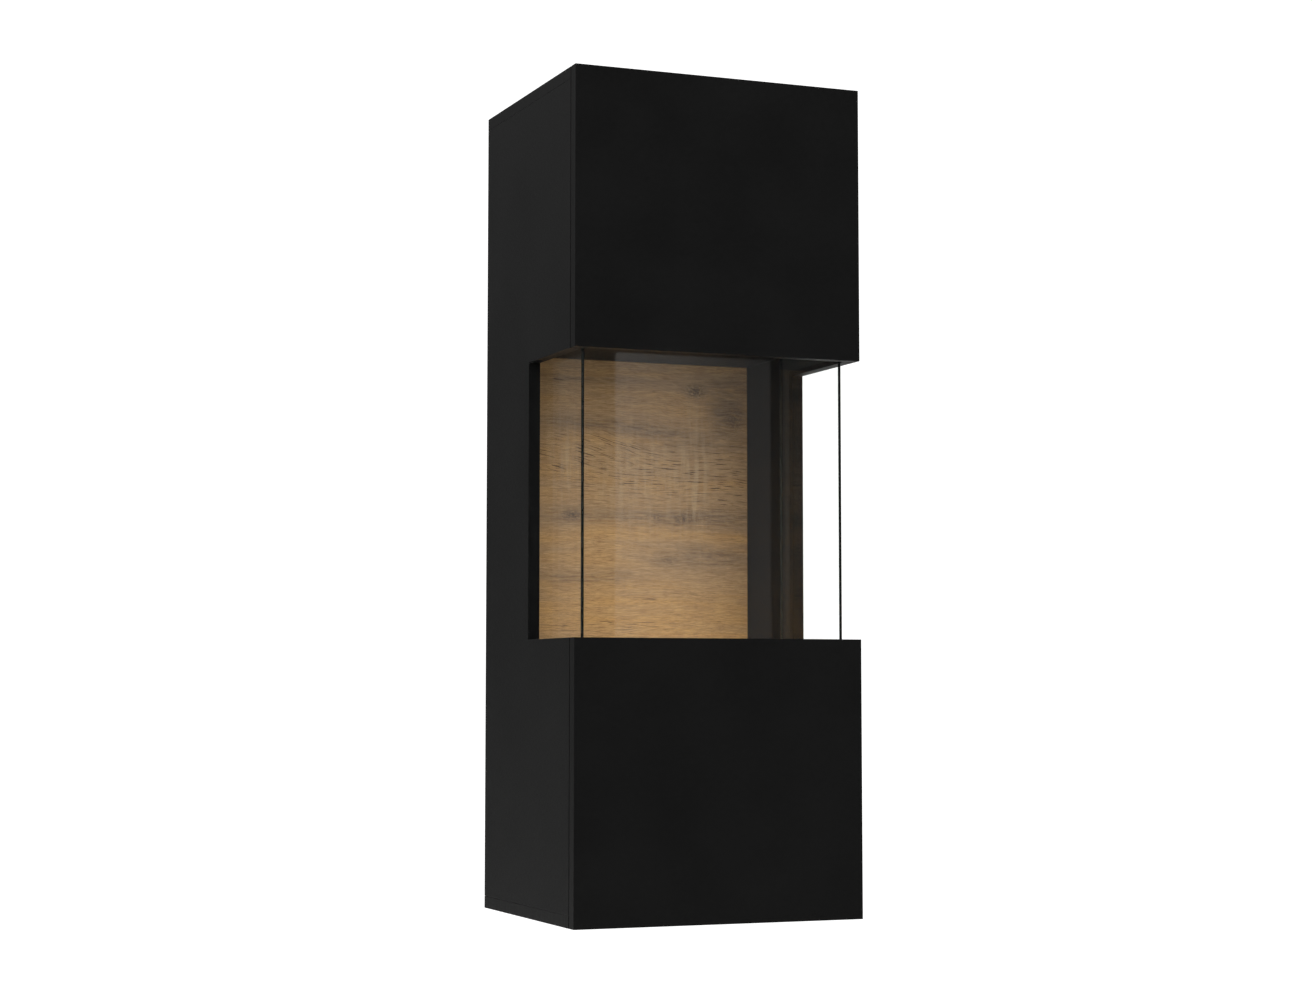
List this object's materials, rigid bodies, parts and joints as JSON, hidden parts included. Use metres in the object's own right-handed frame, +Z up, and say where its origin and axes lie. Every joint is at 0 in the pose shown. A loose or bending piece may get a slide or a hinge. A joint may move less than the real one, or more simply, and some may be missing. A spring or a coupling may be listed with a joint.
{
  "type": "wall mounted showcase",
  "caption": "Tall narrow wall-hung display cabinet in black board with a glazed oak-backed niche open on three sides and one push-to-open door of two boards joined by glass.",
  "frame": {"origin": "on the wall plane, at the middle of the wall rail's back face, 70 mm below the cabinet's top and half way across it", "axes": "+Z up, the door faces -Y and the wall is at +Y, +X to the right seen from the front"},
  "size_m": [0.4, 0.35, 1.09],
  "materials": {
    "black_board": "satin melamine film with a very faint linen emboss, black edging",
    "oak_decor": "matt oak decor, horizontal grain with darker bands and knots",
    "hardboard": "thin black-lacquered hardboard, brown cut edges",
    "clear_glass": "clear float glass, polished edges",
    "nickel_steel": "nickel-plated pressed steel",
    "zinc_steel": "bright zinc-plated steel",
    "grey_plastic": "fine-textured dark grey moulded plastic",
    "clear_rubber": "soft translucent buffer",
    "bonding_tape": "black foam bonding tape"
  },
  "bodies": {
    "carcass": {"left_side_panel": "black_board", "right_side_panel": "black_board", "top_panel": "black_board", "bottom_panel": "black_board", "upper_divider": "black_board", "lower_divider": "black_board", "niche_back_panel": "oak_decor", "back_board": "hardboard", "left_side_glass": "clear_glass", "right_side_glass": "clear_glass", "left_glass_tape": "bonding_tape", "right_glass_tape": "bonding_tape", "hinge_bottom_arm": "nickel_steel", "hinge_bottom_plate": "nickel_steel", "hinge_lower_arm": "nickel_steel", "hinge_lower_plate": "nickel_steel", "hinge_upper_arm": "nickel_steel", "hinge_upper_plate": "nickel_steel", "hinge_top_arm": "nickel_steel", "hinge_top_plate": "nickel_steel", "latch_lower_housing": "grey_plastic", "latch_lower_spring": "zinc_steel", "latch_upper_housing": "grey_plastic", "latch_upper_spring": "zinc_steel", "left_hanger_housing": "grey_plastic", "left_hanger_clamp_screw": "zinc_steel", "left_hanger_height_screw": "zinc_steel", "right_hanger_housing": "grey_plastic", "right_hanger_clamp_screw": "zinc_steel", "right_hanger_height_screw": "zinc_steel", "wall_rail": "zinc_steel"},
    "hinge_links": {"hinge_bottom_link": "nickel_steel", "hinge_lower_link": "nickel_steel", "hinge_upper_link": "nickel_steel", "hinge_top_link": "nickel_steel"},
    "door": {"door_upper_panel": "black_board", "door_lower_panel": "black_board", "door_glass": "clear_glass", "door_upper_glass_tape": "bonding_tape", "door_lower_glass_tape": "bonding_tape", "hinge_bottom_cup": "nickel_steel", "hinge_lower_cup": "nickel_steel", "hinge_upper_cup": "nickel_steel", "hinge_top_cup": "nickel_steel", "latch_lower_strike": "zinc_steel", "latch_upper_strike": "zinc_steel", "door_bumper_1": "clear_rubber", "door_bumper_2": "clear_rubber", "door_bumper_3": "clear_rubber", "door_bumper_4": "clear_rubber"},
    "lower_latch_plunger": {"latch_lower_plunger": "grey_plastic"},
    "upper_latch_plunger": {"latch_upper_plunger": "grey_plastic"},
    "left_hanger_hook": {"left_hanger_hook": "zinc_steel"},
    "right_hanger_hook": {"right_hanger_hook": "zinc_steel"}
  },
  "joints": [
    {"name": "hinge_link_swing", "type": "hinge", "parent": "carcass", "child": "hinge_links", "pos_m": [0.172, -0.327, -0.475], "axis": [0, 0, 1], "range_deg": [-33.5, 0]},
    {"name": "door_swing", "type": "hinge", "parent": "hinge_links", "child": "door", "pos_m": [0.1904, -0.3388, -0.475], "axis": [0, 0, 1], "range_deg": [0, 133.3]},
    {"name": "lower_plunger_travel", "type": "slide", "parent": "carcass", "child": "lower_latch_plunger", "axis": [0, -1, 0], "range_m": [0, 0.014], "deforming": ["latch_lower_spring"]},
    {"name": "upper_plunger_travel", "type": "slide", "parent": "carcass", "child": "upper_latch_plunger", "axis": [0, -1, 0], "range_m": [0, 0.014], "deforming": ["latch_upper_spring"]},
    {"name": "left_hook_height", "type": "slide", "parent": "carcass", "child": "left_hanger_hook", "axis": [0, 0, 1], "range_m": [0, 0.008]},
    {"name": "right_hook_height", "type": "slide", "parent": "carcass", "child": "right_hanger_hook", "axis": [0, 0, 1], "range_m": [0, 0.008]}
  ],
  "couplings": [
    {"joint": "hinge_link_swing", "follows": "door_swing", "ratio": -0.25},
    {"joint": "lower_plunger_travel", "follows": "door_swing", "m_per_rad": 0.006},
    {"joint": "upper_plunger_travel", "follows": "door_swing", "m_per_rad": 0.006}
  ]
}
